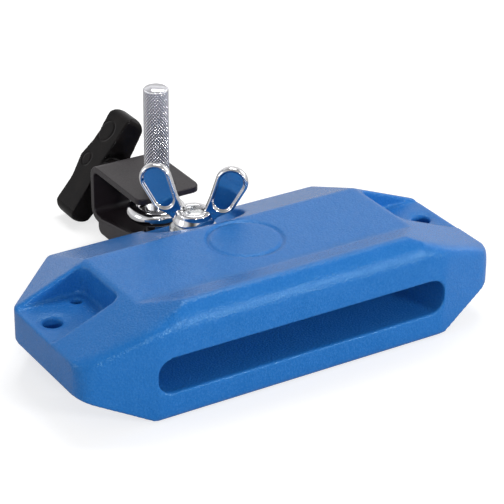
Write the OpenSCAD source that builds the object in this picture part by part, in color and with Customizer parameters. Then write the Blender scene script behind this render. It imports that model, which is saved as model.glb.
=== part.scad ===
// Slotted percussion block of moulded plastic, with a steel clamp for an upright rod.
// X runs along the block, Y from the sound slot towards the clamp, Z up.
// The origin lies on the underside of the block, midway between its two ear holes.

/* [Block] */
// Length of the block over its two ears
block_l = 168; // [160:1:186]
// From the line of the ear holes forward to the front wall
front_d = 41; // [39:0.5:46]
// From the line of the ear holes back to the back wall
back_d = 44; // [42:0.5:48]
// Length of the chamfer at each end of the front wall
front_chamfer_l = 26.5; // [24:0.5:32]
// Length of the chamfer at each end of the back wall
chamfer_l = 28; // [24:1:32]
// Height of the flat top
top_h = 36.4; // [35:0.2:42]
// Length of the slope at each end of the flat top
slope_l = 28.4; // [24:0.2:29]
// Height of the eaves round the ears and along the back wall
eave_h = 25; // [24:0.1:27]
// Thickness of an ear at its end
ear_t = 12.4; // [8:0.2:16]
// Rise of the striking ridge above the flat top
ridge_rise = 4.8; // [2:0.2:8]
// Distance of the ridge's crest behind the front wall
ridge_back = 5.8; // [4:0.2:9]
// Height lost from the ridge's crest down to the front wall
ridge_drop = 6; // [3:0.2:9]
// Radius of the striking edge above the front wall
edge_r = 9.5; // [2:0.5:10]
// From the ear hole line to the front edge of the flat top
top_front_d = 21.8; // [16:0.2:26]
// From the ear hole line to the back edge of the flat top
top_back_d = 15; // [12:0.5:16]
// From the ear hole line to the front corner of an ear
ear_front_d = 33.8; // [28:0.2:37]
// From the ear hole line to the back corner of an ear
ear_back_d = 15.2; // [14.6:0.2:22]
// Radius of the block's upright corners
corner_r = 7; // [2:0.5:9]

/* [Sound slot] */
// From the end of an ear in to the slot
slot_in = 26; // [24:0.5:40]
// Height of the sound slot
slot_h = 13; // [8:0.5:13.5]
// Height of the slot's floor above the underside
slot_z = 10.5; // [9:0.5:10.5]
// Depth of the sound slot
slot_d = 54; // [30:1:56]
// Radius of the slot's corners
slot_r = 5.5; // [1:0.5:6]

/* [Ear pockets] */
// Width of the pocket cut into each ear
pocket_w = 27; // [20:0.5:28]
// From the ear hole in to the pocket's inner wall
pocket_in = 18.8; // [16:0.2:20]
// Radius of the pocket's inner corners
pocket_r = 3.5; // [1:0.5:5]
// From the end of an ear in to its hole
ear_hole_in = 7.7; // [7:0.1:10]
// Diameter of an ear hole
ear_hole_d = 6.8; // [4:0.2:9]
// Diameter of the shallow ring round an ear hole
ear_ring_d = 11.6; // [10:0.2:12.4]
// Diameter of the small blind hole beside the ear hole
peg_hole_d = 3.8; // [2:0.2:5]
// From the ear hole in to the small blind hole
peg_in = 13.8; // [12:0.2:14]
// From the ear hole back to the small blind hole
peg_back = 9; // [4:0.2:9.4]

/* [Clamp seat] */
// From the back wall in to the clamp bolt
bolt_in = 8; // [7:0.2:9.6]
// Radius of the scoop that gives the wing nut room to turn
scoop_r = 18.6; // [17.5:0.1:19]
// Depth of the scoop's floor below the eaves
scoop_drop = 0.8; // [0.2:0.1:1.2]
// Swing of the bracket to either side
swing_deg = 20; // [5:1:24]

/* [Bracket] */
// Width of the bracket
bracket_w = 26.4; // [24:0.2:30]
// Thickness of the bracket's steel
bracket_t = 2.6; // [1.6:0.1:3]
// Clear height inside the bracket
bracket_gap = 17.6; // [17:0.2:26]
// From the clamp bolt back to the outside of the back plate
bracket_d = 56; // [52:0.2:64]
// Depth of both plates, front edge to the outside of the back plate
plate_d = 38.4; // [36:0.2:39]
// Outer radius of the bracket's bends
bend_r = 5; // [3.5:0.5:6]
// Radius of the front corners of the plates and of the arm
tab_r = 3; // [1:0.5:5]

/* [Arm] */
// Height of the arm's underside above the base
arm_z = 6.95; // [6:0.05:7.4]
// Thickness of the arm's steel
arm_t = 2; // [1.4:0.1:2.2]
// From the clamp bolt forward to the arm's front end
arm_in = 10; // [9:0.5:12]
// From the outside of the back plate forward to the arm's back end
arm_back = 9.4; // [6:0.2:14]
// From the clamp bolt back to the front end of the arm's cheeks
cheek_in = 15; // [14.8:0.2:20]
// Height of a cheek at the arm's back end, over the underside
cheek_low_h = 5.9; // [5:0.1:8]
// Height of a cheek at its front end, over the underside
cheek_high_h = 11.4; // [9:0.2:13]
// Radius of the corners of a cheek
cheek_r = 2.6; // [1:0.2:2.6]

/* [Rod clamp] */
// Diameter of the knurled rod
rod_d = 9.5; // [8:0.1:10]
// Length of the rod
rod_l = 70; // [66:1:160]
// Length of the rod's plain lower end, which is not knurled
rod_plain_l = 30; // [20:1:30]
// Diameter of the rod's plain lower end
rod_plain_d = 9.3; // [8.4:0.1:9.4]
// Width of the groove between the plain end and the knurl
rod_groove_w = 1.8; // [1:0.1:2.4]
// Depth of that groove
rod_groove_t = 0.6; // [0.3:0.1:1]
// Height of the rod above the top plate
rod_up = 38.8; // [34:0.2:38.8]
// From the top plate's front edge back to the middle of the rod
rod_in = 9.8; // [9.6:0.2:12]
// Diameter of the rod holes in the bracket
rod_hole_d = 12.2; // [11.2:0.1:13.4]
// From the top plate down to the middle of the eye
eye_drop = 11.4; // [9:0.2:12]
// Thickness of the eye's bar
eye_bar_d = 5.6; // [4:0.1:6]
// Inner diameter of the eye
eye_in_d = 11.4; // [10.9:0.1:12]
// Diameter of the eye bolt's shank
shank_d = 6; // [5:0.1:6.4]

/* [Clamp knob] */
// Length of the knob over its two wings
knob_l = 46.6; // [40:0.2:48]
// Thickness of a wing at its tip
knob_t = 9; // [6:0.2:11]
// Depth of the wings at their tips
knob_tip_d = 15.8; // [14:0.2:18]
// Depth of the wings at their waist
knob_waist_d = 13.1; // [10:0.1:13.6]
// Depth of the knob at its middle
knob_middle_d = 14.6; // [13.8:0.2:17]
// How far the tips of the wings sit back at their front
knob_lean = 1.2; // [0.2:0.1:3]
// Diameter of the knob's hub
knob_hub_d = 12; // [11.4:0.2:15]
// Length of the hub in front of the wings
knob_neck = 8.4; // [7:0.2:16]
// Angle of the wings from level
knob_deg = 52.5; // [0:2.5:90]
// Width of the hexagonal insert over its flats
insert_w = 8.6; // [8:0.2:9]
// Length of the hexagonal insert
insert_l = 9; // [6:0.5:12]
// Diameter of the washer under the knob
knob_washer_d = 15; // [12:0.5:18]
// Thickness of the washer under the knob
knob_washer_t = 1.2; // [0.8:0.1:2]

/* [Clamp bolt] */
// Diameter of the clamp bolt
bolt_d = 8; // [6:0.2:8.4]
// Diameter of the bolt's round head
bolt_head_d = 17; // [14:0.5:20]
// Height of the bolt's round head
bolt_head_h = 2.8; // [2:0.1:3.2]
// Outer diameter of the flat washer
washer_d = 18; // [16:0.5:20]
// Thickness of the flat washer
washer_t = 1.6; // [1:0.1:2]
// Outer diameter of the split lock washer
lock_d = 14; // [12.6:0.2:15]
// Thickness of the split lock washer
lock_t = 1.6; // [1.2:0.1:2.2]
// Width of the gap in the split lock washer
lock_gap = 1.2; // [0.6:0.1:2]

/* [Wing nut] */
// Span of the wing nut over its wings
wing_span = 40; // [37:0.5:42]
// Height of the wing nut
wing_h = 23; // [21:0.5:28]
// Width of a wing
wing_w = 12; // [9:0.2:13]
// Thickness of a wing at its rim
wing_t = 3.6; // [2.4:0.1:4.4]
// Depth of the hollow in each face of a wing
wing_hollow = 0.8; // [0.2:0.1:1]
// Diameter of the nut's base
nut_base_d = 15.6; // [14.4:0.2:17.4]
// Diameter of the nut's top
nut_top_d = 13; // [11:0.2:13.8]
// Height of the nut's hub
nut_h = 5; // [3.6:0.2:6]
// Angle of the wings from the block's length
wing_deg = -37.5; // [-90:2.5:90]

/* [Top ring] */
// Outer diameter of the plain ring on the flat top
ring_d = 28; // [16:0.5:28.5]
// Width of the ring's groove
ring_w = 1.2; // [0.6:0.1:2]
// Depth of the ring's groove
ring_depth = 0.5; // [0.2:0.1:1]

/* [Hidden] */
$fn = 72;
arc_steps = 7;
// Every cut runs past its face by this much
over = 1;
// Gap between flat faces of pieces that turn or slide on each other
face_gap = 0.05;
// Radial gap round a thread
thread_gap = 0.1;
// Radial gap round a bolt or shank in a plain hole
hole_gap = 0.35;
// Radial gap between the rod and what it bears on
bear_gap = 0.15;
// Gap between the swinging arm and the walls of its channel
swing_gap = 0.6;
// Rounding of the block's lower edges, of the eave and flat top's long edges, and of the ridge's crest
foot_r = 3;
top_r = 1.6;
crest_r = 4;
// Step from the ear's outer rim down to the pocket floor
pocket_step = 0.2;
// Depths of the ring round an ear hole and of the small blind hole
ear_ring_depth = 0.3;
peg_depth = 6;
// Bevel on the ends of rods, bolts, washers and the hub
bevel = 0.6;

// Places along X
wall_l = block_l - 2 * chamfer_l;
front_wall_l = block_l - 2 * front_chamfer_l;
top_l = block_l - 2 * slope_l;
slot_l = block_l - 2 * slot_in;
ear_hole_x = block_l / 2 - ear_hole_in;

// Places along Y
bolt_y = back_d - bolt_in;
plate_back_y = bolt_y + bracket_d;
plate_front_y = plate_back_y - plate_d;
rod_y = plate_front_y + rod_in;
rod_hole_y = rod_y + rod_plain_d / 2 - rod_hole_d / 2 + bear_gap;
eye_y = rod_y - rod_plain_d / 2 + eye_in_d / 2 - bear_gap;
knob_washer_y = plate_back_y + face_gap;
knob_y = knob_washer_y + knob_washer_t + face_gap;
shank_end_y = knob_y + insert_l + bevel;
waist_y = knob_y + knob_neck;

// Places along Z
arm_top_z = arm_z + arm_t;
ledge_z = arm_top_z + face_gap;
bracket_z = arm_top_z + face_gap;
plate_top_z = bracket_z + bracket_gap + 2 * bracket_t;
scoop_z = eave_h - scoop_drop;
lock_z = scoop_z + washer_t + face_gap;
nut_z = lock_z + lock_t + face_gap;
bolt_top_z = nut_z + nut_h - bevel;
eye_z = plate_top_z - eye_drop;
rod_top_z = plate_top_z + rod_up;
crest_z = top_h + ridge_rise;

// Slope of the ends, and how far up it is drawn
end_slope = (top_h - eave_h) / slope_l;
end_top_z = crest_z + over;

function unit(v) = v / norm(v);

// Points of an arc about a centre, from one angle through a turn
function arc(centre, r, from_deg, turn_deg, steps) =
    [for (k = [0:steps]) let (a = from_deg + turn_deg * k / steps) centre + r * [cos(a), sin(a)]];

// Points of the arc that rounds corner p between its neighbours a and b
function corner_arc(a, p, b, r) =
    let (
        u = unit(a - p),
        v = unit(b - p),
        half = acos(max(-1, min(1, u * v))) / 2,
        reach = min(r / tan(half), norm(a - p) / 2, norm(b - p) / 2),
        radius = reach * tan(half),
        centre = p + unit(u + v) * radius / sin(half),
        from = p + u * reach - centre,
        to = p + v * reach - centre,
        start = atan2(from[1], from[0]),
        turn = atan2(from[0] * to[1] - from[1] * to[0], from * to)
    )
    arc(centre, radius, start, turn, arc_steps);

// Outline through the corners, each given as [x, y, radius]
function rounded(corners) =
    let (n = len(corners))
    [
        for (i = [0:n - 1])
            let (
                a = corners[(i + n - 1) % n],
                p = corners[i],
                b = corners[(i + 1) % n]
            )
            each p[2] > 0
                ? corner_arc([a[0], a[1]], [p[0], p[1]], [b[0], b[1]], p[2])
                : [[p[0], p[1]]]
    ];

// Outline of the band that wraps two circles
function capsule(a, ra, b, rb) =
    let (
        lean = atan2(b[1] - a[1], b[0] - a[0]),
        open = acos((ra - rb) / norm(b - a))
    )
    concat(
        arc(b, rb, lean - open, 2 * open, 2 * arc_steps),
        arc(a, ra, lean + open, 2 * (180 - open), 2 * arc_steps)
    );

module both_ends() {
    children();
    mirror([1, 0, 0]) children();
}

// Solid of revolution about Z from an outline given as [radius, height]
module turned(outline) {
    rotate_extrude() polygon(outline);
}

// Plate with a bevelled rim and a round hole
module ring_plate(outer_d, hole_d, t) {
    edge = min(bevel, t / 3);
    turned([
        [hole_d / 2, 0], [outer_d / 2 - edge, 0], [outer_d / 2, edge],
        [outer_d / 2, t - edge], [outer_d / 2 - edge, t], [hole_d / 2, t]
    ]);
}

// Block

module block_plan() {
    polygon(rounded([
        [-front_wall_l / 2, -front_d, corner_r], [front_wall_l / 2, -front_d, corner_r],
        [block_l / 2, -ear_front_d, corner_r], [block_l / 2, ear_back_d, corner_r],
        [wall_l / 2, back_d, corner_r], [-wall_l / 2, back_d, corner_r],
        [-block_l / 2, ear_back_d, corner_r], [-block_l / 2, -ear_front_d, corner_r]
    ]));
}

module block_section() {
    polygon(rounded([
        [-front_d, 0, foot_r], [back_d, 0, foot_r], [back_d, eave_h, top_r],
        [top_back_d, top_h, top_r], [-top_front_d, top_h, top_r],
        [-(front_d - ridge_back), crest_z, crest_r], [-front_d, crest_z - ridge_drop, edge_r]
    ]));
}

module block_elevation() {
    end_top_x = top_l / 2 - (end_top_z - top_h) / end_slope;
    ear_z = eave_h - ear_t;
    polygon([
        [-front_wall_l / 2, 0], [front_wall_l / 2, 0], [block_l / 2, ear_z], [block_l / 2, eave_h],
        [end_top_x, end_top_z], [-end_top_x, end_top_z], [-block_l / 2, eave_h], [-block_l / 2, ear_z]
    ]);
}

// Slanted cut over the chamfered back corner, from the flat top down to the eaves
module back_corner_cut() {
    run = [chamfer_l, ear_back_d - back_d];
    out = unit([-run[1], run[0]]);
    eave_s = out * [wall_l / 2, back_d];
    top_s = out * [top_l / 2, top_back_d];
    fall = (top_h - eave_h) / (eave_s - top_s);
    rotate([90, 0, atan2(out[1], out[0])])
        linear_extrude(block_l, center = true)
            polygon([
                [top_s - over, top_h + fall * over], [eave_s + over, eave_h - fall * over],
                [eave_s + over, end_top_z], [top_s - over, end_top_z]
            ]);
}

module block_envelope() {
    difference() {
        intersection() {
            linear_extrude(end_top_z) block_plan();
            rotate([90, 0, 90]) linear_extrude(block_l + over, center = true) block_section();
            rotate([90, 0, 0]) linear_extrude(2 * (front_d + back_d), center = true) block_elevation();
        }
        both_ends() back_corner_cut();
    }
}

module sound_slot() {
    slot_top_z = slot_z + slot_h;
    translate([0, slot_d - front_d, 0])
        rotate([90, 0, 0])
            linear_extrude(slot_d + over)
                polygon(rounded([
                    [-slot_l / 2, slot_z, slot_r], [slot_l / 2, slot_z, slot_r],
                    [slot_l / 2, slot_top_z, slot_r], [-slot_l / 2, slot_top_z, slot_r]
                ]));
}

module ear_cuts() {
    floor_z = eave_h - pocket_step;
    wall_x = ear_hole_x - pocket_in;
    end_x = block_l / 2 + over;
    translate([0, 0, floor_z])
        linear_extrude(end_top_z - floor_z)
            polygon(rounded([
                [wall_x, -pocket_w / 2, pocket_r], [end_x, -pocket_w / 2, 0],
                [end_x, pocket_w / 2, 0], [wall_x, pocket_w / 2, pocket_r]
            ]));
    translate([ear_hole_x, 0, 0]) cylinder(h = eave_h, d = ear_hole_d);
    translate([ear_hole_x, 0, floor_z - ear_ring_depth]) cylinder(h = eave_h, d = ear_ring_d);
    translate([ear_hole_x - peg_in, peg_back, floor_z - peg_depth]) cylinder(h = eave_h, d = peg_hole_d);
}

// Room under the ledge for the arm, over the whole swing of the bracket
module arm_channel() {
    front_r = norm([bracket_w / 2, arm_in]) + swing_gap;
    side = bracket_w / 2 / cos(swing_deg) + swing_gap;
    mouth = side + (bolt_in + over) * tan(swing_deg);
    translate([0, bolt_y, -over]) {
        linear_extrude(ledge_z + over)
            polygon([[-side, 0], [side, 0], [mouth, bolt_in + over], [-mouth, bolt_in + over]]);
        cylinder(h = ledge_z + over, r = front_r);
    }
}

module top_ring() {
    translate([0, 0, top_h - ring_depth])
        turned([
            [ring_d / 2 - ring_w, 0], [ring_d / 2, 0],
            [ring_d / 2, ring_depth + over], [ring_d / 2 - ring_w, ring_depth + over]
        ]);
}

module block() {
    color([0.17, 0.42, 0.72])
        difference() {
            block_envelope();
            sound_slot();
            both_ends() ear_cuts();
            arm_channel();
            translate([0, bolt_y, scoop_z]) cylinder(h = end_top_z, r = scoop_r);
            translate([0, bolt_y, 0]) cylinder(h = end_top_z, d = bolt_d + 2 * hole_gap);
            top_ring();
        }
}

// Bracket and the arm that it stands on

module bracket_profile() {
    inner_r = max(bend_r - bracket_t, bevel);
    inner_z = bracket_z + bracket_t;
    polygon(rounded([
        [plate_front_y, plate_top_z, 0], [plate_back_y, plate_top_z, bend_r],
        [plate_back_y, bracket_z, bend_r], [plate_front_y, bracket_z, 0], [plate_front_y, inner_z, 0],
        [plate_back_y - bracket_t, inner_z, inner_r],
        [plate_back_y - bracket_t, plate_top_z - bracket_t, inner_r],
        [plate_front_y, plate_top_z - bracket_t, 0]
    ]));
}

// Plan of a plate whose front corners are rounded
module tab_plan(front_y, back_y) {
    polygon(rounded([
        [-bracket_w / 2, front_y, tab_r], [bracket_w / 2, front_y, tab_r],
        [bracket_w / 2, back_y, 0], [-bracket_w / 2, back_y, 0]
    ]));
}

module bracket() {
    color([0.13, 0.12, 0.13])
        difference() {
            intersection() {
                rotate([90, 0, 90]) linear_extrude(bracket_w, center = true) bracket_profile();
                linear_extrude(plate_top_z) tab_plan(plate_front_y, plate_back_y + over);
            }
            translate([0, rod_hole_y, 0]) cylinder(h = plate_top_z + over, d = rod_hole_d);
            translate([0, plate_back_y + over, eye_z])
                rotate([90, 0, 0]) cylinder(h = bend_r + over, d = shank_d + 2 * hole_gap);
        }
}

// Upright side wall of the arm, higher towards the block
module cheek() {
    front_y = bolt_y + cheek_in;
    back_y = plate_back_y - arm_back;
    translate([bracket_w / 2 + face_gap, 0, arm_z])
        rotate([90, 0, 90])
            linear_extrude(arm_t)
                polygon(rounded([
                    [front_y, 0, cheek_r], [back_y, 0, cheek_r],
                    [back_y, cheek_low_h, cheek_r / 2], [front_y, cheek_high_h, cheek_r]
                ]));
}

module arm() {
    floor_y = bolt_y + cheek_in + cheek_r;
    floor_end_y = plate_back_y - arm_back - cheek_r;
    floor_w = bracket_w + 2 * (face_gap + arm_t / 2);
    color([0.15, 0.14, 0.15])
        difference() {
            union() {
                translate([0, 0, arm_z]) linear_extrude(arm_t) tab_plan(bolt_y - arm_in, floor_end_y);
                translate([-floor_w / 2, floor_y, arm_z]) cube([floor_w, floor_end_y - floor_y, arm_t]);
                both_ends() cheek();
            }
            translate([0, rod_hole_y, 0]) cylinder(h = plate_top_z, d = rod_hole_d);
            translate([0, bolt_y, 0]) cylinder(h = arm_top_z + over, d = bolt_d + 2 * hole_gap);
        }
}

// Clamp bolt, washers and wing nut

module clamp_bolt() {
    seat_z = arm_z - face_gap;
    head_z = seat_z - bolt_head_h;
    color([0.72, 0.73, 0.75])
        translate([0, bolt_y, 0])
            turned([
                [0, head_z], [bolt_head_d / 4, head_z], [bolt_head_d / 2 - bevel, head_z + bolt_head_h / 2],
                [bolt_head_d / 2, seat_z], [bolt_d / 2, seat_z], [bolt_d / 2, bolt_top_z - bevel],
                [bolt_d / 2 - bevel, bolt_top_z], [0, bolt_top_z]
            ]);
}

module flat_washer() {
    color([0.78, 0.79, 0.8])
        translate([0, bolt_y, scoop_z]) ring_plate(washer_d, bolt_d + 2 * hole_gap, washer_t);
}

module lock_washer() {
    color([0.7, 0.71, 0.72])
        translate([0, bolt_y, lock_z])
            difference() {
                ring_plate(lock_d, bolt_d + 2 * hole_gap, lock_t);
                rotate(wing_deg)
                    translate([0, -lock_gap / 2, -over]) cube([lock_d, lock_gap, lock_t + 2 * over]);
            }
}

// One wing, drawn upright over the X axis
module wing() {
    tip_r = wing_w / 2;
    foot_share = 0.84;
    foot_wing_r = tip_r * foot_share;
    tip = [wing_span / 2 - tip_r, wing_h - tip_r];
    foot = [nut_top_d / 2 + wing_t + bevel, nut_h + foot_wing_r * foot_share];
    root = [nut_top_d / 2 - wing_t / 2, nut_h / 2];
    rotate([90, 0, 0])
        difference() {
            linear_extrude(wing_t, center = true) {
                polygon(capsule(foot, foot_wing_r, tip, tip_r));
                polygon(capsule(root, nut_h / 2 - bevel, foot, foot_wing_r));
            }
            for (side = [0, 1])
                mirror([0, 0, side])
                    translate([0, 0, wing_t / 2 - wing_hollow])
                        linear_extrude(wing_hollow + over)
                            polygon(capsule(foot, foot_wing_r - wing_t / 2, tip, tip_r - wing_t / 2));
        }
}

module wing_nut() {
    color([0.82, 0.83, 0.85])
        translate([0, bolt_y, nut_z])
            difference() {
                union() {
                    turned([
                        [0, 0], [nut_base_d / 2 - bevel, 0], [nut_base_d / 2, bevel],
                        [nut_base_d / 2, nut_h / 3], [nut_top_d / 2, nut_h / 2],
                        [nut_top_d / 2, nut_h - bevel], [nut_top_d / 2 - bevel, nut_h], [0, nut_h]
                    ]);
                    for (turn = [0, 180]) rotate(wing_deg + turn) wing();
                }
                translate([0, 0, -over]) cylinder(h = wing_h + over, d = bolt_d + 2 * thread_gap);
            }
}

// Rod and eye bolt

module rod() {
    groove_r = rod_plain_d / 2 - rod_groove_t;
    knurl_z = rod_plain_l + rod_groove_w;
    color([0.75, 0.76, 0.8])
        translate([0, rod_y, rod_top_z - rod_l])
            turned([
                [0, 0], [rod_plain_d / 2 - bevel, 0], [rod_plain_d / 2, bevel],
                [rod_plain_d / 2, rod_plain_l], [groove_r, rod_plain_l],
                [groove_r, knurl_z], [rod_d / 2, knurl_z],
                [rod_d / 2, rod_l - bevel], [rod_d / 2 - bevel, rod_l], [0, rod_l]
            ]);
}

module eye_bolt() {
    ring_r = (eye_in_d + eye_bar_d) / 2;
    shank_l = shank_end_y - eye_y - eye_in_d / 2;
    color([0.75, 0.8, 0.8])
        translate([0, eye_y, eye_z]) {
            rotate_extrude() translate([ring_r, 0]) circle(d = eye_bar_d);
            difference() {
                translate([0, eye_in_d / 2, 0])
                    rotate([-90, 0, 0])
                        turned([
                            [0, 0], [shank_d / 2, 0], [shank_d / 2, shank_l - bevel],
                            [shank_d / 2 - bevel, shank_l], [0, shank_l]
                        ]);
                cylinder(h = eye_bar_d, d = eye_in_d + bevel, center = true);
            }
        }
}

// Knob

module knob_washer() {
    color([0.78, 0.79, 0.8])
        translate([0, knob_washer_y, eye_z])
            rotate([-90, 0, 0]) ring_plate(knob_washer_d, shank_d + 2 * hole_gap, knob_washer_t);
}

// Outline of the knob seen from behind
module knob_face() {
    end_r = knob_t / 2;
    both_ends() polygon(capsule([0, 0], knob_hub_d / 2, [knob_l / 2 - end_r, 0], end_r));
}

// Outline of the knob seen on its broad face
module knob_side() {
    waist_share = 0.38;
    tip_r = knob_tip_d / 5;
    tip_x = knob_l / 2;
    waist_x = tip_x * waist_share;
    polygon(rounded([
        [-tip_x, knob_lean, tip_r], [-waist_x, 0, knob_hub_d],
        [waist_x, 0, knob_hub_d], [tip_x, knob_lean, tip_r],
        [tip_x, knob_tip_d, tip_r], [waist_x, knob_waist_d, knob_hub_d],
        [0, knob_middle_d, knob_hub_d / 2],
        [-waist_x, knob_waist_d, knob_hub_d], [-tip_x, knob_tip_d, tip_r]
    ]));
}

module insert_prism(extra) {
    rotate([-90, 0, 0]) cylinder(h = insert_l + extra, d = insert_w / cos(30), $fn = 6);
}

module clamp_knob() {
    hub_l = knob_neck + knob_waist_d - bevel;
    bore_l = shank_end_y - knob_y + bevel;
    color([0.1, 0.09, 0.09])
        translate([0, knob_y, eye_z])
            rotate([0, -knob_deg, 0])
                difference() {
                    union() {
                        translate([0, knob_neck, 0])
                            intersection() {
                                linear_extrude(knob_hub_d, center = true) knob_side();
                                rotate([90, 0, 0]) linear_extrude(2 * knob_tip_d, center = true) knob_face();
                            }
                        rotate([-90, 0, 0])
                            turned([
                                [0, 0], [knob_hub_d / 2 - bevel, 0], [knob_hub_d / 2, bevel],
                                [knob_hub_d / 2, hub_l - bevel], [knob_hub_d / 2 - bevel, hub_l], [0, hub_l]
                            ]);
                    }
                    translate([0, -over, 0]) insert_prism(over);
                    rotate([-90, 0, 0]) cylinder(h = bore_l, d = shank_d + 2 * hole_gap);
                }
}

module knob_insert() {
    color([0.75, 0.62, 0.3])
        translate([0, knob_y, eye_z])
            rotate([0, -knob_deg, 0])
                difference() {
                    insert_prism(0);
                    translate([0, -over, 0])
                        rotate([-90, 0, 0]) cylinder(h = insert_l + 2 * over, d = shank_d + 2 * thread_gap);
                }
}

block();
bracket();
arm();
clamp_bolt();
flat_washer();
lock_washer();
wing_nut();
rod();
eye_bolt();
knob_washer();
clamp_knob();
knob_insert();
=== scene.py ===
import math

import bmesh
import bpy
from mathutils import Matrix, Vector


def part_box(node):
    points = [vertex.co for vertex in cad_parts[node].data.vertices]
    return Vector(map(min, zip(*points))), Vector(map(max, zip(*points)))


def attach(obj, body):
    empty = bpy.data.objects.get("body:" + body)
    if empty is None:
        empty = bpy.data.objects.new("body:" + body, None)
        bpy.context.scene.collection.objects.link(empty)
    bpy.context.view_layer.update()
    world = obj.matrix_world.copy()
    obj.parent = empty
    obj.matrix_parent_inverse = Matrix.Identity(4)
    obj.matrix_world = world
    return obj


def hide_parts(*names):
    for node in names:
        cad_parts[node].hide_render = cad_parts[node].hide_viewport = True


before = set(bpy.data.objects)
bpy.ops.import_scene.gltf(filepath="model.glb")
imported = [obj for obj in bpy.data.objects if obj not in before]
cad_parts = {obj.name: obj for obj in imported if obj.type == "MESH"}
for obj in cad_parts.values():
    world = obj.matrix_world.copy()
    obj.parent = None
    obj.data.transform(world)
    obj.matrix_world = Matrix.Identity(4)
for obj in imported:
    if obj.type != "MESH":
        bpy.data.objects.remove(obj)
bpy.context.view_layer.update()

MM = 0.001
TURN = 2 * math.pi
WELD = 0.001 * MM

# Camera at the photograph's viewing angle
VIEW_AZIMUTH = math.radians(-31.85)
VIEW_ELEVATION = math.radians(27.43)
VIEW_ROLL = math.radians(0.56)
VIEW_DISTANCE = 791.4 * MM
AIM_RIGHT = 2.7 * MM
AIM_UP = 27.6 * MM
LENS_MM = 157.14
SENSOR_MM = 36.0
CLIP_START = 10 * MM


def clamped(value):
    return max(0.0, min(1.0, value))


# Places, all taken from the CAD parts in model.glb

def node_box(name):
    low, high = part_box(name)
    return Vector(low), Vector(high)


def node_centre(name):
    low, high = node_box(name)
    return (low + high) / 2


nut_low = node_box("wing_nut")[0]
rod_low, rod_high = node_box("rod")
eye_low, eye_high = node_box("eye_bolt")
bolt_low, bolt_high = node_box("clamp_bolt")
bolt_at = node_centre("clamp_bolt")
rod_at = node_centre("rod")
rod_r = (rod_high.x - rod_low.x) / 2
eye_z = (eye_low.z + eye_high.z) / 2


# Node graphs

# Parts of a noise's range, between which a ramp rises
WIDE_SPAN = (0.3, 0.7)
NARROW_SPAN = (0.35, 0.65)


def set_or_link(tree, value, socket):
    """Links a socket to an input, or sets a constant on it."""
    if isinstance(value, bpy.types.NodeSocket):
        tree.links.new(value, socket)
    else:
        socket.default_value = value


def maths_node(tree, kind, operation, first, second):
    made = tree.nodes.new(kind)
    made.operation = operation
    set_or_link(tree, first, made.inputs[0])
    set_or_link(tree, second, made.inputs[1])
    return made


def maths(tree, operation, first, second):
    return maths_node(tree, "ShaderNodeMath", operation, first, second).outputs["Value"]


def vector_maths(tree, operation, first, second, output="Vector"):
    return maths_node(tree, "ShaderNodeVectorMath", operation, first, second).outputs[output]


def map_range(tree, value, **span):
    made = tree.nodes.new("ShaderNodeMapRange")
    tree.links.new(value, made.inputs["Value"])
    for key, end in span.items():
        set_or_link(tree, end, made.inputs[key.replace("_", " ")])
    return made.outputs["Result"]


class Graph:
    """A material's nodes, with short calls for what the finishes share."""

    def __init__(self, name):
        self.material = bpy.data.materials.new(name)
        self.material.use_nodes = True
        self.tree = self.material.node_tree
        self.shader = self.tree.nodes["Principled BSDF"]
        self.coords = self.tree.nodes.new("ShaderNodeTexCoord").outputs["Object"]

    def node(self, kind, **inputs):
        made = self.tree.nodes.new(kind)
        for key, value in inputs.items():
            set_or_link(self.tree, value, made.inputs[key.replace("_", " ")])
        return made

    def link(self, output, socket):
        self.tree.links.new(output, self.shader.inputs[socket])

    def constants(self, **inputs):
        for key, value in inputs.items():
            self.shader.inputs[key.replace("_", " ")].default_value = value

    def noise(self, size, detail=2.0, roughness=0.5):
        """Noise whose cells are about the given size in metres."""
        settings = {"Scale": 1 / size, "Detail": detail, "Roughness": roughness}
        return self.node("ShaderNodeTexNoise", Vector=self.coords, **settings).outputs["Fac"]

    def pebbles(self, size):
        """Distance from the middle of rounded cells of the given size in metres."""
        return self.node("ShaderNodeTexVoronoi", Vector=self.coords, Scale=1 / size).outputs["Distance"]

    def ramp(self, value, span, ends):
        (low, high), (first, second) = span, ends
        return map_range(self.tree, value, From_Min=low, From_Max=high, To_Min=first, To_Max=second)

    def mix(self, amount, first, second):
        made = self.tree.nodes.new("ShaderNodeMix")
        made.data_type = "RGBA"
        self.tree.links.new(amount, made.inputs["Factor"])
        for colour, socket in ((first, made.inputs["A"]), (second, made.inputs["B"])):
            set_or_link(self.tree, (*colour, 1.0) if isinstance(colour, tuple) else colour, socket)
        return made.outputs["Result"]

    def blend(self, value, span, first, second):
        """From the first colour to the second as a value rises over the span."""
        return self.mix(self.ramp(value, span, (0.0, 1.0)), first, second)

    def product(self, first, second):
        return maths(self.tree, "MULTIPLY", first, second)

    def height(self):
        return self.node("ShaderNodeSeparateXYZ", Vector=self.coords).outputs["Z"]

    def radius(self, axis_x, axis_y):
        """Distance of a point from an upright axis."""
        away = vector_maths(self.tree, "SUBTRACT", self.coords, (axis_x, axis_y, 0.0))
        level = vector_maths(self.tree, "MULTIPLY", away, (1.0, 1.0, 0.0))
        return vector_maths(self.tree, "LENGTH", level, (0.0, 0.0, 0.0), output="Value")

    def bump(self, height, strength, distance, before=None):
        made = self.node("ShaderNodeBump", Height=height, Strength=strength, Distance=distance)
        if before is not None:
            self.tree.links.new(before, made.inputs["Normal"])
        return made.outputs["Normal"]


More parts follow.
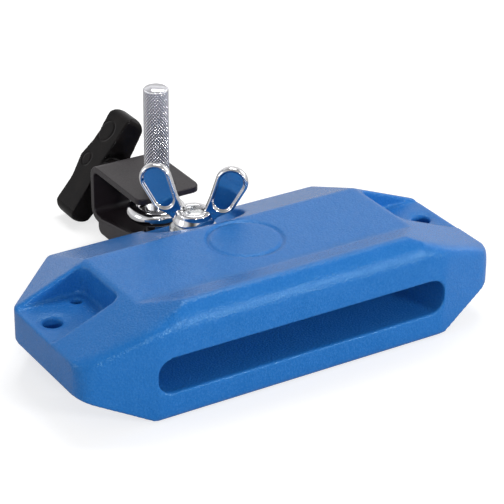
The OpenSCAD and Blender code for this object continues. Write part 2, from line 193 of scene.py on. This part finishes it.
def blue_plastic():
    graph = Graph("moulded_blue_plastic")
    deep_blue = (0.014, 0.158, 0.51)
    mid_blue = (0.018, 0.168, 0.535)
    light_grain = (0.05, 0.24, 0.62)
    light_span = (0.42, 0.75)
    light_share = (0.0, 0.5)
    roughness = (0.15, 0.25)
    cloud = graph.noise(9 * MM, detail=3.0)
    grain = graph.noise(0.75 * MM, detail=3.0, roughness=0.6)
    pebble = graph.pebbles(0.85 * MM)
    shade = graph.blend(cloud, NARROW_SPAN, deep_blue, mid_blue)
    shade = graph.mix(graph.ramp(grain, light_span, light_share), shade, light_grain)
    graph.link(shade, "Base Color")
    graph.link(graph.ramp(grain, WIDE_SPAN, roughness), "Roughness")
    normal = graph.bump(pebble, strength=0.5, distance=0.18 * MM)
    normal = graph.bump(grain, strength=0.6, distance=0.28 * MM, before=normal)
    graph.link(normal, "Normal")
    graph.constants(Specular_IOR_Level=0.3, Specular_Tint=(0.5, 0.87, 1.0, 1.0))
    return graph.material


def powder_black():
    graph = Graph("black_powder_coat")
    darker = (0.017, 0.0125, 0.0155)
    paler = (0.022, 0.0165, 0.02)
    roughness = (0.34, 0.46)
    grain = graph.noise(0.5 * MM)
    cloud = graph.noise(7 * MM)
    graph.link(graph.blend(cloud, WIDE_SPAN, darker, paler), "Base Color")
    graph.link(graph.ramp(grain, WIDE_SPAN, roughness), "Roughness")
    graph.link(graph.bump(grain, strength=0.3, distance=0.05 * MM), "Normal")
    graph.constants(Specular_IOR_Level=0.35)
    return graph.material


def chrome():
    graph = Graph("bright_chrome")
    clear = (0.76, 0.75, 0.76)
    hazy = (0.66, 0.66, 0.68)
    roughness = (0.05, 0.12)
    cloud = graph.noise(2.2 * MM)
    haze = graph.noise(11 * MM)
    graph.link(graph.blend(haze, NARROW_SPAN, clear, hazy), "Base Color")
    graph.link(graph.ramp(haze, WIDE_SPAN, roughness), "Roughness")
    graph.link(graph.bump(cloud, strength=0.06, distance=0.05 * MM), "Normal")
    graph.constants(Metallic=1.0)
    return graph.material


def knurled_chrome():
    """Chrome with painted shade in the pits of the knurl, between the groove and the top's bevel."""
    graph = Graph("knurled_chrome")
    dull = (0.6, 0.6, 0.64)
    clear = (0.84, 0.84, 0.88)
    painted_pit_shade = (0.05, 0.05, 0.06)
    roughness = (0.12, 0.25)
    knurl_low = rod_low.z + GROOVE_END
    knurl_high = rod_high.z - ROD_BEVEL
    low_fade = (knurl_low, knurl_low + 0.3 * MM)
    high_fade = (knurl_high - 0.2 * MM, knurl_high)
    pit_radii = (rod_r - 0.85 * KNURL_DEPTH, rod_r - 0.1 * KNURL_DEPTH)
    grit = graph.noise(0.3 * MM)
    # Painted shade: the base colour darkens where the radius dips into the knurl's pits
    painted_shade_mask = graph.ramp(graph.radius(rod_at.x, rod_at.y), pit_radii, (1.0, 0.0))
    above_groove = graph.ramp(graph.height(), low_fade, (0.0, 1.0))
    below_top = graph.ramp(graph.height(), high_fade, (1.0, 0.0))
    painted_shade_mask = graph.product(painted_shade_mask, graph.product(above_groove, below_top))
    bright = graph.blend(grit, NARROW_SPAN, dull, clear)
    graph.link(graph.mix(painted_shade_mask, bright, painted_pit_shade), "Base Color")
    graph.link(graph.ramp(grit, WIDE_SPAN, roughness), "Roughness")
    graph.constants(Metallic=1.0)
    return graph.material


def zinc_plate():
    graph = Graph("zinc_plate")
    dull = (0.62, 0.64, 0.65)
    clear = (0.76, 0.77, 0.77)
    roughness = (0.2, 0.36)
    cloud = graph.noise(1.6 * MM, detail=3.0)
    graph.link(graph.blend(cloud, WIDE_SPAN, dull, clear), "Base Color")
    graph.link(graph.ramp(cloud, WIDE_SPAN, roughness), "Roughness")
    graph.link(graph.bump(cloud, strength=0.1, distance=0.04 * MM), "Normal")
    graph.constants(Metallic=1.0)
    return graph.material


def knob_plastic():
    graph = Graph("black_knob_plastic")
    darker = (0.006, 0.0055, 0.006)
    paler = (0.011, 0.009, 0.009)
    roughness = (0.14, 0.22)
    cloud = graph.noise(5 * MM)
    grain = graph.noise(0.4 * MM)
    graph.link(graph.blend(cloud, WIDE_SPAN, darker, paler), "Base Color")
    graph.link(graph.ramp(cloud, WIDE_SPAN, roughness), "Roughness")
    graph.link(graph.bump(grain, strength=0.2, distance=0.03 * MM), "Normal")
    graph.constants(Specular_IOR_Level=0.08)
    return graph.material


def turned_brass():
    graph = Graph("turned_brass")
    dull = (0.62, 0.44, 0.16)
    clear = (0.75, 0.56, 0.24)
    roughness = (0.2, 0.35)
    cloud = graph.noise(1.2 * MM, detail=3.0)
    graph.link(graph.blend(cloud, WIDE_SPAN, dull, clear), "Base Color")
    graph.link(graph.ramp(cloud, WIDE_SPAN, roughness), "Roughness")
    graph.constants(Metallic=1.0)
    return graph.material


# Pieces

def add_piece(name, mesh, material, body, replaced):
    piece = bpy.data.objects.new(name, mesh)
    bpy.context.collection.objects.link(piece)
    mesh.materials.clear()
    mesh.materials.append(material)
    mesh.polygons.foreach_set("use_smooth", [True] * len(mesh.polygons))
    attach(piece, body)
    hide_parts(replaced)


def dress_cad_node(node, material):
    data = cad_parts[node].data
    data.materials.clear()
    data.materials.append(material)


def evaluated(name, mesh, *modifiers, weights=()):
    """The mesh after the modifiers, each given as (kind, {setting: value})."""
    carrier = bpy.data.objects.new(name + "_work", mesh)
    bpy.context.collection.objects.link(carrier)
    if weights:
        group = carrier.vertex_groups.new(name="soft")
        for index, weight in weights:
            group.add([index], weight, "REPLACE")
    for kind, settings in modifiers:
        modifier = carrier.modifiers.new(kind.lower(), kind)
        for key, value in settings.items():
            setattr(modifier, key, value)
    finished = carrier.evaluated_get(bpy.context.evaluated_depsgraph_get())
    made = bpy.data.meshes.new_from_object(finished)
    made.name = name
    bpy.data.objects.remove(carrier)
    return made


def segment_distance(point, start, end):
    span = end - start
    share = clamped((point - start).dot(span) / span.length_squared)
    return (point - start - span * share).length


def smoothing(rounds, **settings):
    return ("SMOOTH", {"factor": 0.5, "iterations": rounds, **settings})


def thinning(keep):
    return ("DECIMATE", {"ratio": keep})


def rounded_near(name, mesh, lines, reach, rounds):
    """Rounds a mesh further along the given lines, less and less out to the reach."""
    weights = []
    for vertex in mesh.vertices:
        nearest = min(segment_distance(vertex.co, start, end) for start, end in lines)
        if nearest < reach:
            weights.append((vertex.index, clamped(2 - 2 * nearest / reach)))
    return evaluated(name, mesh, smoothing(rounds, vertex_group="soft"), weights=weights)


def softened(name, source, voxel, rounds, keep=1.0, carve=None):
    """A closed copy of a mesh with every edge rounded, as moulding, casting or coating leaves it."""
    remesh = ("REMESH", {"mode": "VOXEL", "voxel_size": voxel})
    mesh = evaluated(name, source, remesh, smoothing(rounds))
    if carve:
        for vertex in mesh.vertices:
            vertex.co = carve(vertex.co.copy())
    if keep < 1.0:
        mesh = evaluated(name, mesh, thinning(keep))
    return mesh


def welded(name, meshes):
    """One mesh of several, with the corners that meet made one."""
    work = bmesh.new()
    for mesh in meshes:
        work.from_mesh(mesh)
    bmesh.ops.remove_doubles(work, verts=work.verts, dist=WELD)
    joined = bpy.data.meshes.new(name)
    work.to_mesh(joined)
    work.free()
    return joined


def cad_mesh(node):
    return welded(node + "_source", [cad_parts[node].data])


def grid_mesh(name, rings, closed_ends=True):
    """A tube skinned over rings of points, each ring with as many points."""
    work = bmesh.new()
    loops = [[work.verts.new(point) for point in ring] for ring in rings]
    count = len(loops[0])
    for low, high in zip(loops, loops[1:]):
        for k in range(count):
            work.faces.new((low[k], low[(k + 1) % count], high[(k + 1) % count], high[k]))
    if closed_ends:
        work.faces.new(list(reversed(loops[0])))
        work.faces.new(loops[-1])
    mesh = bpy.data.meshes.new(name)
    work.to_mesh(mesh)
    work.free()
    return mesh


def upright_point(axis, angle, radius, height):
    """A point at an angle round an upright axis."""
    return Vector((axis.x + radius * math.cos(angle), axis.y + radius * math.sin(angle), height))


def bump_profile(distance, half_width):
    """One at the middle, falling smoothly to zero at the half width."""
    share = min(abs(distance) / half_width, 1.0)
    return (1 + math.cos(math.pi * share)) / 2


# Block

BLOCK_VOXEL = 0.6 * MM
BLOCK_ROUNDS = 8
BLOCK_KEEP = 0.45
# The ring pressed into the flat top
RING_RADIUS = 13.4 * MM
RING_HALF_WIDTH = 1.0 * MM
RING_DEPTH = 0.65 * MM
TOP_Z = 36.4 * MM
TOP_TOLERANCE = 0.3 * MM
# The CAD's own groove, which is filled up before that
GROOVE_FILL_DEPTH = 1 * MM
GROOVE_FILL_RADIUS = RING_RADIUS + 2 * RING_HALF_WIDTH
# The struck edge above an end's chamfer, from the front wall to the ear's corner
EDGE_INNER = Vector((57.5, -41.0, 35.0)) * MM
EDGE_OUTER = Vector((78.7, -35.2, 27.0)) * MM
EDGE_REACH = 9 * MM
EDGE_ROUNDS = 150
# The arm's channel, widened so that its rounded corners stay clear of the swinging arm
CHANNEL_TOP = 9.1 * MM
CHANNEL_REACH = 21 * MM
CHANNEL_WIDEN = 1.055


def mirrored(point):
    return Vector((-point.x, point.y, point.z))


def press_ring(point):
    if abs(point.z - TOP_Z) < TOP_TOLERANCE:
        point.z -= RING_DEPTH * bump_profile(point.xy.length - RING_RADIUS, RING_HALF_WIDTH)
    return point


def block_source():
    """The CAD block with its channel widened and the groove in its top filled up."""
    source = cad_mesh("block")
    for vertex in source.vertices:
        if vertex.co.z < CHANNEL_TOP and (vertex.co.xy - bolt_at.xy).length < CHANNEL_REACH:
            vertex.co.x *= CHANNEL_WIDEN
        if abs(vertex.co.z - TOP_Z) < GROOVE_FILL_DEPTH and vertex.co.xy.length < GROOVE_FILL_RADIUS:
            vertex.co.z = TOP_Z
    return source


def make_block(material):
    name = "block_moulding"
    mesh = softened(name, block_source(), BLOCK_VOXEL, BLOCK_ROUNDS, carve=press_ring)
    edges = [(EDGE_INNER, EDGE_OUTER), (mirrored(EDGE_INNER), mirrored(EDGE_OUTER))]
    mesh = rounded_near(name, mesh, edges, EDGE_REACH, EDGE_ROUNDS)
    mesh = evaluated(name, mesh, thinning(BLOCK_KEEP))
    add_piece(name, mesh, material, "block_body", "block")


# Bracket and arm

STEEL_VOXEL = 0.3 * MM
STEEL_ROUNDS = 5
STEEL_KEEP = 0.4


def make_coated(node, material):
    name = node + "_coated"
    mesh = softened(name, cad_mesh(node), STEEL_VOXEL, STEEL_ROUNDS, keep=STEEL_KEEP)
    add_piece(name, mesh, material, "bracket_body", node)


# Wing nut: half-round rims round sunk panels, over a flared hub

NUT_VOXEL = 0.22 * MM
NUT_ROUNDS = 4
NUT_LAST_ROUNDS = 2
NUT_HUB_H = 5.0 * MM
NUT_FLANGE_R = 8.1 * MM
# Heights and radii of the hub's side in millimetres, and the radius inside which the hub stays as it is
NUT_HUB_PROFILE = ((0.2, 7.5), (0.8, 7.8), (1.6, 7.5), (3.0, 6.8), (4.4, 6.5))
NUT_TOP_R = 6.3 * MM
WING_TURN = math.radians(-37.5)
WING_HALF_T = 1.8 * MM
WING_PANEL_HALF_T = 0.75 * MM
WING_RIM = 1.9 * MM
WING_START = 6 * MM
WING_TIP = (Vector((14.0, 17.0)) * MM, 6.0 * MM)
WING_FOOT = (Vector((10.7, 9.23)) * MM, 5.04 * MM)
WING_ROOT = (Vector((4.7, 2.5)) * MM, 1.9 * MM)
# The height above the hub over which a wing's shape sets in, and a limit to how far a rim is stretched
WING_FADE_START = 0.2 * MM
WING_FADE = 0.8 * MM
WING_LEAST_SHARE = 0.2


def band_distance(point, first, second, inset=0.0):
    """Distance of a point outside the band round two circles, and the way out of it."""
    (start, start_r), (end, end_r) = first, second
    axis = end - start
    length = axis.length
    axis.normalize()
    along = (point - start).dot(axis)
    across = abs((point - start).cross(axis))
    slope = (end_r - start_r) / length
    place = max(0.0, min(length, along + slope * across / math.sqrt(1 - slope * slope)))
    away = point - (start + axis * place)
    out = away.normalized() if away.length > 0 else axis
    return away.length - (start_r + slope * place - inset), out


def between(pairs, place):
    """The value at a place, on straight lines between the pairs."""
    for (low, low_value), (high, high_value) in zip(pairs, pairs[1:]):
        if place <= high:
            share = clamped((place - low) / (high - low))
            return low_value + (high_value - low_value) * share
    return pairs[-1][1]


def shape_hub(point, in_wing):
    """Draws the hub's side into a smooth flare."""
    away = Vector((point.x - bolt_at.x, point.y - bolt_at.y))
    height = (point.z - nut_low.z) / MM
    on_side = NUT_HUB_PROFILE[0][0] < height < NUT_HUB_PROFILE[-1][0]
    if in_wing or away.length < NUT_TOP_R or not on_side:
        return point
    away *= between(NUT_HUB_PROFILE, height) * MM / away.length
    return Vector((bolt_at.x + away.x, bolt_at.y + away.y, point.z))


def rim_shape(inset, across):
    """A point's inset and height on the half-round rim."""
    half_rim = WING_RIM / 2
    share = math.hypot(inset / half_rim - 1, across / WING_HALF_T)
    stretch = 1 / max(WING_LEAST_SHARE, share)
    return half_rim + (inset - half_rim) * stretch, across * stretch


def panel_height(flat, across):
    """A point's height on the sunk panel, which rises smoothly to the rim."""
    sunk = -band_distance(flat, WING_FOOT, WING_TIP, inset=WING_RIM)[0]
    share = clamped(sunk / (WING_RIM / 2) + 1)
    rise = (WING_HALF_T - WING_PANEL_HALF_T) * (1 + math.cos(math.pi * share)) / 2
    return math.copysign(WING_PANEL_HALF_T + rise, across)


def shape_wing(point):
    """Rounds a wing's rim and sinks its panel; shapes the hub's side elsewhere."""
    turned = Matrix.Rotation(-WING_TURN, 2) @ Vector((point.x - bolt_at.x, point.y - bolt_at.y))
    side = 1.0 if turned.x >= 0 else -1.0
    flat = Vector((abs(turned.x), point.z - nut_low.z))
    across = turned.y
    above_hub = (flat.y - NUT_HUB_H - WING_FADE_START) / WING_FADE
    weight = clamped(max(above_hub, (flat.x - NUT_FLANGE_R) / MM))
    if weight == 0:
        return shape_hub(point, abs(across) < WING_HALF_T and flat.x > WING_START)
    bands = ((WING_FOOT, WING_TIP), (WING_ROOT, WING_FOOT))
    outside, out = min((band_distance(flat, *band) for band in bands), key=lambda found: found[0])
    inset = -outside
    new_inset = inset
    if inset < WING_RIM / 2:
        new_inset, new_across = rim_shape(inset, across)
    else:
        new_across = panel_height(flat, across)
    flat += out * (inset - new_inset) * weight
    across += (new_across - across) * weight
    back = Matrix.Rotation(WING_TURN, 2) @ Vector((side * flat.x, across))
    return Vector((bolt_at.x + back.x, bolt_at.y + back.y, nut_low.z + flat.y))


def make_wing_nut(material):
    name = "wing_nut_cast"
    mesh = softened(name, cad_mesh("wing_nut"), NUT_VOXEL, NUT_ROUNDS, carve=shape_wing)
    mesh = evaluated(name, mesh, smoothing(NUT_LAST_ROUNDS))
    add_piece(name, mesh, material, "wing_nut_body", "wing_nut")


# Threads

THREAD_SIDES = 40
RINGS_PER_PITCH = 8


def thread_ring(radius, height, depth, pitch, along):
    """One ring of a threaded shank: the radius dips where the helix passes."""
    points = []
    for k in range(THREAD_SIDES):
        share = (height / pitch + k / THREAD_SIDES) % 1.0
        dip = depth * (1 - abs(2 * share - 1))
        points.append(along(TURN * k / THREAD_SIDES, radius - dip, height))
    return points


def thread_heights(start, end, pitch):
    steps = int((end - start) / pitch * RINGS_PER_PITCH)
    return [start + (end - start) * k / steps for k in range(steps + 1)]


# Clamp bolt: an M8 thread over a plain neck and a round head

BOLT_R = 4 * MM
BOLT_PITCH = 1.25 * MM
BOLT_THREAD_DEPTH = 0.55 * MM
BOLT_TIP_BEVEL = 0.7 * MM
BOLT_PLAIN = 8 * MM
BOLT_HEAD_H = 2.8 * MM
BOLT_HEAD_GAP = 0.2 * MM
# Radii and heights of the head, as shares of the head's own
BOLT_HEAD_PROFILE = ((0.3, 0.0), (0.55, 0.1), (0.8, 0.35), (0.95, 0.65), (1.0, 0.9), (0.98, 1.0))


def bolt_point(angle, radius, height):
    return upright_point(bolt_at, angle, radius, height)


def bolt_head_rings():
    head_r = (bolt_high.x - bolt_low.x) / 2
    profile = [(share_r * head_r, share_h * BOLT_HEAD_H) for share_r, share_h in BOLT_HEAD_PROFILE]
    profile.append((BOLT_R, BOLT_HEAD_H))
    angles = [TURN * k / THREAD_SIDES for k in range(THREAD_SIDES)]
    return [
        [bolt_point(angle, radius, bolt_low.z + height) for angle in angles]
        for radius, height in profile
    ]


def make_clamp_bolt(material):
    seat_z = bolt_low.z + BOLT_HEAD_H
    rings = bolt_head_rings()
    for height in thread_heights(seat_z + BOLT_HEAD_GAP, bolt_high.z, BOLT_PITCH):
        shrink = max(0.0, BOLT_TIP_BEVEL - (bolt_high.z - height))
        depth = BOLT_THREAD_DEPTH if height > seat_z + BOLT_PLAIN else 0.0
        rings.append(thread_ring(BOLT_R - shrink, height, depth, BOLT_PITCH, bolt_point))
    mesh = grid_mesh("clamp_bolt_threaded", rings)
    add_piece("clamp_bolt_threaded", mesh, material, "block_body", "clamp_bolt")


# Rod: a plain lower end, a groove, and a diamond knurl up to the top

KNURL_STARTS = 26
KNURL_SAMPLES = 7
KNURL_DEPTH = 0.42 * MM
KNURL_RISE = 1.35 * MM
KNURL_SHARPNESS = 1.5
KNURL_LEAD = 0.05 * MM
ROD_BEVEL = 0.6 * MM
PLAIN_END = 30 * MM
PLAIN_STEP = 0.1 * MM
GROOVE_END = 31.8 * MM
GROOVE_DEPTH = 0.6 * MM
GROOVE_SIDE = 0.2 * MM


def rod_ring(height, radius, depth=0.0):
    """One ring of the rod: the radius dips along two crossing sets of helices."""
    count = KNURL_STARTS * KNURL_SAMPLES
    climb = height / KNURL_RISE
    points = []
    for k in range(count):
        around = k * KNURL_STARTS / count
        first = abs(2 * ((around + climb) % 1.0) - 1)
        second = abs(2 * ((around - climb) % 1.0) - 1)
        reach = radius - depth * max(0.0, 1 - KNURL_SHARPNESS * min(first, second))
        angle = TURN * k / count
        points.append(upright_point(rod_at, angle, reach, height))
    return points


def make_rod(material):
    plain_r = rod_r - PLAIN_STEP
    plain_z = rod_low.z + PLAIN_END
    knurl_z = rod_low.z + GROOVE_END
    groove_r = plain_r - GROOVE_DEPTH
    rings = [
        rod_ring(rod_low.z, plain_r - ROD_BEVEL),
        rod_ring(rod_low.z + ROD_BEVEL, plain_r),
        rod_ring(plain_z, plain_r),
        rod_ring(plain_z + GROOVE_SIDE, groove_r),
        rod_ring(knurl_z, groove_r),
    ]
    top = rod_high.z - ROD_BEVEL
    steps = int((top - knurl_z) / (KNURL_RISE / KNURL_SAMPLES))
    for k in range(steps + 1):
        height = knurl_z + KNURL_LEAD + (top - knurl_z - KNURL_LEAD) * k / steps
        rings.append(rod_ring(height, rod_r, KNURL_DEPTH))
    rings.append(rod_ring(rod_high.z, rod_r - ROD_BEVEL))
    mesh = grid_mesh("rod_knurled", rings)
    add_piece("rod_knurled", mesh, material, "rod_body", "rod")


# Eye bolt: a forged ring with a flared neck, and an M6 thread

EYE_BAR_R = 2.8 * MM
EYE_SHANK_R = 3 * MM
EYE_SIDES = 32
EYE_RING_STEPS = 96
EYE_NECK_STEPS = 24
EYE_NECK_L = 7 * MM
EYE_NECK_FLARE = 0.9 * MM
EYE_NECK_THINNING = 0.1 * MM
EYE_VOXEL = 0.3 * MM
EYE_ROUNDS = 6
EYE_KEEP = 0.7
EYE_PITCH = 1 * MM
EYE_THREAD_DEPTH = 0.4 * MM
EYE_THREAD_BEVEL = 0.5 * MM
EYE_THREAD_OVERLAP = 0.3 * MM


def shank_point(angle, radius, depth):
    """A point round the eye bolt's axis, counted so that the faces of a tube turn outwards."""
    return Vector((radius * math.cos(angle), depth, eye_z - radius * math.sin(angle)))


def eye_ring(centre, ring_r):
    rings = []
    for j in range(EYE_RING_STEPS):
        turn = TURN * j / EYE_RING_STEPS
        out = Vector((math.cos(turn), math.sin(turn), 0.0))
        ring = []
        for k in range(EYE_SIDES):
            angle = TURN * k / EYE_SIDES
            rise = Vector((0, 0, EYE_BAR_R * math.sin(angle)))
            ring.append(centre + out * (ring_r + EYE_BAR_R * math.cos(angle)) + rise)
        rings.append(ring)
    rings.append(rings[0])
    return grid_mesh("eye_ring", rings, closed_ends=False)


def eye_neck(start, end):
    rings = []
    for k in range(EYE_NECK_STEPS + 1):
        share = k / EYE_NECK_STEPS
        radius = EYE_SHANK_R + EYE_NECK_FLARE * (1 - share) ** 2 - EYE_NECK_THINNING * share
        depth = start + (end - start) * share
        rings.append([shank_point(TURN * j / EYE_SIDES, radius, depth) for j in range(EYE_SIDES)])
    return grid_mesh("eye_neck", rings)


def eye_thread(start, end):
    rings = []
    for depth in thread_heights(start, end, EYE_PITCH):
        shrink = max(0.0, EYE_THREAD_BEVEL - min(depth - start, end - depth))
        ring = thread_ring(EYE_SHANK_R - shrink, depth, EYE_THREAD_DEPTH, EYE_PITCH, shank_point)
        rings.append(ring)
    return grid_mesh("eye_thread", rings)


def make_eye_bolt(material):
    ring_outer = (eye_high.x - eye_low.x) / 2
    ring_r = ring_outer - EYE_BAR_R
    centre = Vector((0.0, eye_low.y + ring_outer, eye_z))
    neck_start = centre.y + ring_r
    neck_end = neck_start + EYE_NECK_L
    joined = welded("eye_forging_source", [eye_ring(centre, ring_r), eye_neck(neck_start, neck_end)])
    mesh = softened("eye_forging", joined, EYE_VOXEL, EYE_ROUNDS, keep=EYE_KEEP)
    add_piece("eye_forging", mesh, material, "eye_bolt_body", "eye_bolt")
    thread = eye_thread(neck_end - EYE_THREAD_OVERLAP, eye_high.y)
    add_piece("eye_thread", thread, material, "eye_bolt_body", "eye_bolt")


# Knob

KNOB_VOXEL = 0.32 * MM
KNOB_ROUNDS = 10
KNOB_KEEP = 0.6
KNOB_TURN = math.radians(52.5)
# Place along the wings, depth and radius of the ring in the upper wing and of the round gate mark
KNOB_RING = (13.3 * MM, 111.0 * MM, 4.3 * MM)
KNOB_GATE = (0.0, 111.4 * MM, 2.6 * MM)
KNOB_MARK_HALF_WIDTH = 0.6 * MM
KNOB_MARK_DEPTH = 0.22 * MM
# Only the upper face, this far out from the knob's middle plane, takes the marks
KNOB_FACE = 3 * MM


def knob_marks(point):
    """Presses a plain ring into the upper wing, and a round gate mark into the hub's side."""
    along = point.x * math.cos(KNOB_TURN) + (point.z - eye_z) * math.sin(KNOB_TURN)
    out = Vector((-math.sin(KNOB_TURN), 0.0, math.cos(KNOB_TURN)))
    if out.dot(point) - out.z * eye_z < KNOB_FACE:
        return point
    for mark_along, mark_y, mark_r in (KNOB_RING, KNOB_GATE):
        reach = math.hypot(along - mark_along, point.y - mark_y)
        point -= out * KNOB_MARK_DEPTH * bump_profile(reach - mark_r, KNOB_MARK_HALF_WIDTH)
    return point


def make_knob(material):
    name = "knob_moulding"
    source = cad_mesh("clamp_knob")
    mesh = softened(name, source, KNOB_VOXEL, KNOB_ROUNDS, keep=KNOB_KEEP, carve=knob_marks)
    add_piece(name, mesh, material, "knob_body", "clamp_knob")


# Studio

WHITE = (1.0, 1.0, 1.0, 1.0)
FLOOR_HALF = 3.0
FLOOR_DROP = 0.05 * MM
FLOOR_COLOUR = (0.5, 0.5, 0.5, 1.0)
FLOOR_ROUGHNESS = 0.9
FLOOR_SPECULAR = 0.1
FLOOR_GLOW = 0.68
FLOOR_METAL_SHARE = 0.2
WORLD_STRENGTH = 0.31
CEILING_START = 0.35
CEILING_STRENGTH = 0.3
# The dark room behind the photographer, as a direction and the cosines where it starts and is full
CARD_DIRECTION = (-0.62, -0.76, 0.2)
CARD_EDGE = 0.86
CARD_CORE = 0.97
CARD_STRENGTH = 0.06
SOFTBOX_TARGET = Vector((0, 0, 0.02))
# Name, place, width, height and watts
SOFTBOXES = (
    ("softbox_top", (0.3, 0.4, 1.05), 0.6, 0.4, 5.5),
    ("softbox_right", (0.95, 0.05, 0.5), 0.5, 0.5, 1.4),
    ("softbox_left", (-0.95, 0.3, 0.35), 0.4, 0.4, 1.8),
    ("softbox_front", (0.56, -1.03, 0.35), 0.3, 0.05, 6.2),
    ("softbox_corner", (-0.28, -1.0, 0.4), 0.15, 0.05, 2.6),
)


def placed(place, right, up, back):
    """The matrix of a camera or lamp at a place, which looks against its back direction."""
    return Matrix.Translation(place) @ Matrix((right, up, back)).transposed().to_4x4()


def add_camera():
    az, el = VIEW_AZIMUTH, VIEW_ELEVATION
    back = Vector((math.sin(az) * math.cos(el), -math.cos(az) * math.cos(el), math.sin(el)))
    level = Vector((math.cos(az), math.sin(az), 0.0))
    tall = back.cross(level)
    right = level * math.cos(VIEW_ROLL) + tall * math.sin(VIEW_ROLL)
    up = tall * math.cos(VIEW_ROLL) - level * math.sin(VIEW_ROLL)
    data = bpy.data.cameras.new("camera")
    data.lens = LENS_MM
    data.sensor_width = SENSOR_MM
    data.clip_start = CLIP_START
    camera = bpy.data.objects.new("camera", data)
    camera.matrix_world = placed(right * AIM_RIGHT + up * AIM_UP + back * VIEW_DISTANCE, right, up, back)
    bpy.context.collection.objects.link(camera)
    bpy.context.scene.camera = camera


def add_softbox(name, place, width, height, watts):
    data = bpy.data.lights.new(name, "AREA")
    data.shape = "RECTANGLE"
    data.size = width
    data.size_y = height
    data.energy = watts
    lamp = bpy.data.objects.new(name, data)
    back = (Vector(place) - SOFTBOX_TARGET).normalized()
    right = Vector((0, 0, 1)).cross(back).normalized()
    lamp.matrix_world = placed(Vector(place), right, back.cross(right), back)
    bpy.context.collection.objects.link(lamp)


def seen_by_camera_or_metal(tree, metal_share=1.0):
    """One for camera rays, a share for glossy and transmission rays, zero for the rays that light."""
    path = tree.nodes.new("ShaderNodeLightPath")
    total = path.outputs["Is Camera Ray"]
    for kind in ("Is Glossy Ray", "Is Transmission Ray"):
        part = maths(tree, "MULTIPLY", path.outputs[kind], metal_share)
        total = maths(tree, "MAXIMUM", total, part)
    return total


def dark_card(tree, direction):
    """One everywhere but towards the photographer, where the room that chrome mirrors is dark."""
    towards = vector_maths(tree, "DOT_PRODUCT", direction, CARD_DIRECTION, output="Value")
    span = {"From_Min": CARD_EDGE, "From_Max": CARD_CORE, "To_Min": 1.0, "To_Max": CARD_STRENGTH}
    return map_range(tree, towards, **span)


def add_world():
    """White round the horizon, greyer overhead, and dimmer for the rays that light the object."""
    world = bpy.data.worlds.new("studio")
    world.use_nodes = True
    bpy.context.scene.world = world
    tree = world.node_tree
    background = tree.nodes["Background"]
    background.inputs["Color"].default_value = WHITE
    direction = tree.nodes.new("ShaderNodeTexCoord").outputs["Generated"]
    split = tree.nodes.new("ShaderNodeSeparateXYZ")
    tree.links.new(direction, split.inputs["Vector"])
    overhead = {"From_Min": CEILING_START, "To_Min": 1.0, "To_Max": CEILING_STRENGTH}
    ceiling = map_range(tree, split.outputs["Z"], **overhead)
    room = maths(tree, "MULTIPLY", ceiling, dark_card(tree, direction))
    strength = map_range(tree, seen_by_camera_or_metal(tree), To_Min=WORLD_STRENGTH, To_Max=room)
    tree.links.new(strength, background.inputs["Strength"])


def floor_material():
    material = bpy.data.materials.new("white_floor")
    material.use_nodes = True
    tree = material.node_tree
    shader = tree.nodes["Principled BSDF"]
    shader.inputs["Base Color"].default_value = FLOOR_COLOUR
    shader.inputs["Roughness"].default_value = FLOOR_ROUGHNESS
    shader.inputs["Specular IOR Level"].default_value = FLOOR_SPECULAR
    shader.inputs["Emission Color"].default_value = WHITE
    glow = map_range(tree, seen_by_camera_or_metal(tree, FLOOR_METAL_SHARE), To_Max=FLOOR_GLOW)
    tree.links.new(glow, shader.inputs["Emission Strength"])
    return material


def add_floor():
    work = bmesh.new()
    bmesh.ops.create_grid(work, x_segments=2, y_segments=2, size=FLOOR_HALF)
    mesh = bpy.data.meshes.new("floor")
    work.to_mesh(mesh)
    work.free()
    floor = bpy.data.objects.new("floor", mesh)
    floor.location = (0.0, 0.0, -FLOOR_DROP)
    bpy.context.collection.objects.link(floor)
    mesh.materials.append(floor_material())


bpy.context.scene.view_settings.view_transform = "Standard"
add_camera()
add_world()
add_floor()
for softbox in SOFTBOXES:
    add_softbox(*softbox)

finish = {
    "blue": blue_plastic(),
    "coat": powder_black(),
    "chrome": chrome(),
    "knurl": knurled_chrome(),
    "zinc": zinc_plate(),
    "knob": knob_plastic(),
    "brass": turned_brass(),
}
make_block(finish["blue"])
make_coated("bracket", finish["coat"])
make_coated("arm", finish["coat"])
make_wing_nut(finish["chrome"])
make_clamp_bolt(finish["zinc"])
make_rod(finish["knurl"])
make_eye_bolt(finish["chrome"])
make_knob(finish["knob"])
for node in ("flat_washer", "lock_washer", "knob_washer"):
    dress_cad_node(node, finish["zinc"])
dress_cad_node("knob_insert", finish["brass"])
